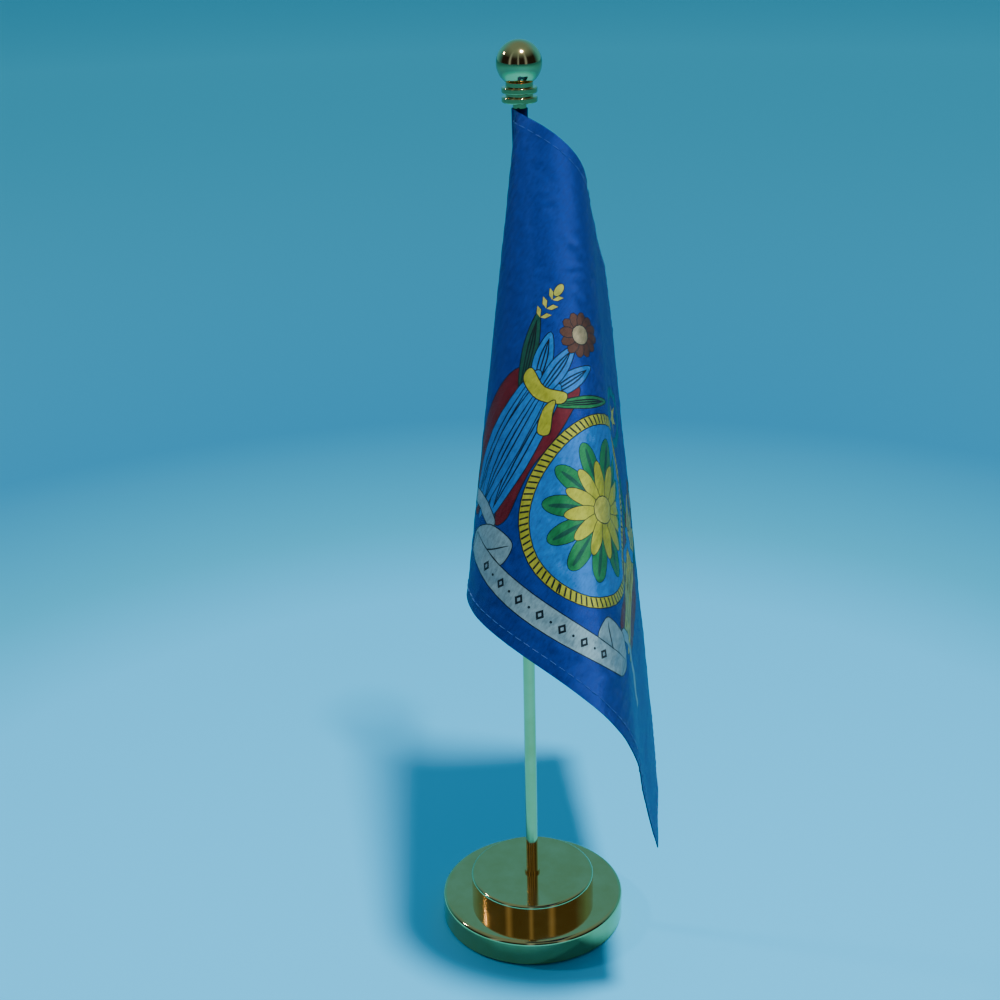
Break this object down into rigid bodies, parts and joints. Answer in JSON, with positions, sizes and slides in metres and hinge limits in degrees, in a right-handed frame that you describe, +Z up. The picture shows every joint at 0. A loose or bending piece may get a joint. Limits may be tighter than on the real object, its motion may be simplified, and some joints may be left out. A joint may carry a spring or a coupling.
{
  "type": "desk flag stand",
  "caption": "Two-tier round gold base with an upright pole, ball finial and a small printed flag hanging from the pole",
  "frame": {"origin": "centre of the foot pad's underside, on the desk", "axes": "+Z up along the pole; the flag leaves the pole towards -X and -Y, turns in front of it and trails back on the +X side, and the outside of that bend is its printed face"},
  "size_m": [0.0796, 0.157, 0.33],
  "materials": {
    "gold": "mirror-polished gold plating",
    "steel": "zinc-plated",
    "foam": "matt closed-cell foam",
    "flag_cloth": "printed satin polyester",
    "thread": "polyester sewing thread"
  },
  "bodies": {
    "base": {"foot_pad": "foam", "lower_disc": "gold", "disc_screws": "steel", "upper_disc": "gold", "captive_nut": "steel"},
    "pole": {"pole": "gold", "foot_ring": "gold"},
    "finial": {"finial_neck": "gold", "finial_stud": "steel", "finial_ball": "gold"},
    "flag_sleeve": {"flag_sleeve": "flag_cloth"},
    "flag_panel": {"flag_panel": "flag_cloth", "sleeve_seam": "thread"}
  },
  "joints": [
    {"name": "pole_unscrew", "type": "hinge", "parent": "base", "child": "pole", "pos_m": [0, 0, 0.0182], "axis": [0, 0, 1], "range_deg": [0, 1440]},
    {"name": "finial_unscrew", "type": "hinge", "parent": "pole", "child": "finial", "pos_m": [0, 0, 0.3105], "axis": [0, 0, 1], "range_deg": [0, 1620]},
    {"name": "flag_slide", "type": "slide", "parent": "pole", "child": "flag_sleeve", "axis": [0, 0, 1], "range_m": [-0.025, 0.0014]},
    {"name": "flag_swing", "type": "hinge", "parent": "flag_sleeve", "child": "flag_panel", "pos_m": [0, 0, 0.3086], "axis": [0, 0, 1], "continuous": true}
  ]
}
